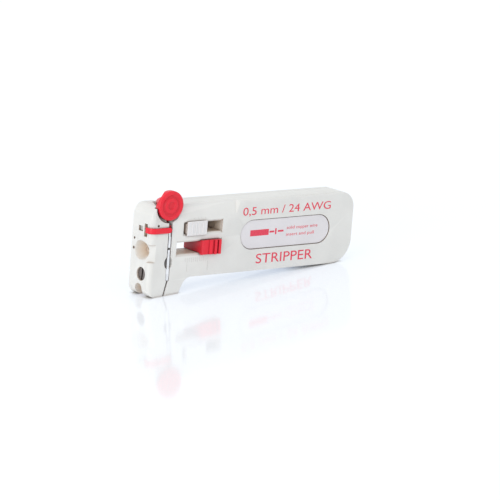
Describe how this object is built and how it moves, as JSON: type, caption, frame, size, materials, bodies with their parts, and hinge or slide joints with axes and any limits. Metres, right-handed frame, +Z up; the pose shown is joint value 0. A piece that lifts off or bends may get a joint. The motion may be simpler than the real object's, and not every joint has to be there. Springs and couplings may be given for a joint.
{
  "type": "wire stripper",
  "caption": "Pocket precision wire stripper: pale flat body, nose block with entry funnel and blades, red press knob and arm, hook slide and red length stop.",
  "frame": {"origin": "bottom centre of the bounding box, on the tool's narrow underside at the finger hump", "axes": "+X from the wire entry at the nose to the rear end, +Y from the printed side to the plain back, +Z up through the press knob"},
  "size_m": [0.1006, 0.014, 0.0413],
  "materials": {
    "shell_plastic": "fine moulded grain",
    "slide_plastic": "smooth moulded",
    "label_plastic": "smooth moulded",
    "red_plastic": "satin",
    "steel": "turned",
    "tool_steel": "ground",
    "spring_steel": "drawn",
    "brass": "turned"
  },
  "bodies": {
    "housing": {"front_shell": "shell_plastic", "back_shell": "shell_plastic", "nose_block": "shell_plastic", "nose_screw": "steel", "threaded_insert": "brass", "dowel_pins": "steel", "fixed_blade": "tool_steel", "wire_guide": "brass", "rear_guide": "brass", "label_plate": "label_plastic", "housing_screws": "steel", "return_spring": "spring_steel"},
    "pusher": {"blade_pusher": "red_plastic", "moving_blade": "tool_steel", "blade_rivets": "steel", "guide_arm": "red_plastic", "press_knob": "red_plastic", "knob_pin": "steel", "spring_seat": "spring_steel"},
    "slider": {"thumb_slide": "slide_plastic", "slide_keeper": "steel", "slide_screws": "steel", "slide_spring": "spring_steel", "hook_bar": "steel"},
    "stop": {"length_stop": "red_plastic", "stop_foot": "red_plastic", "stop_screws": "steel", "stop_spring": "spring_steel"}
  },
  "joints": [
    {"name": "button_press", "type": "slide", "parent": "housing", "child": "pusher", "axis": [0, 0, -1], "range_m": [0, 0.0007], "stiffness_N_per_m": 2000, "springref_m": -0.002, "deforming": ["return_spring"]},
    {"name": "hook_slide", "type": "slide", "parent": "housing", "child": "slider", "axis": [1, 0, 0], "range_m": [-0.0004, 0.0074]},
    {"name": "stop_slide", "type": "slide", "parent": "housing", "child": "stop", "axis": [1, 0, 0], "range_m": [-0.0098, 0.0006]}
  ]
}
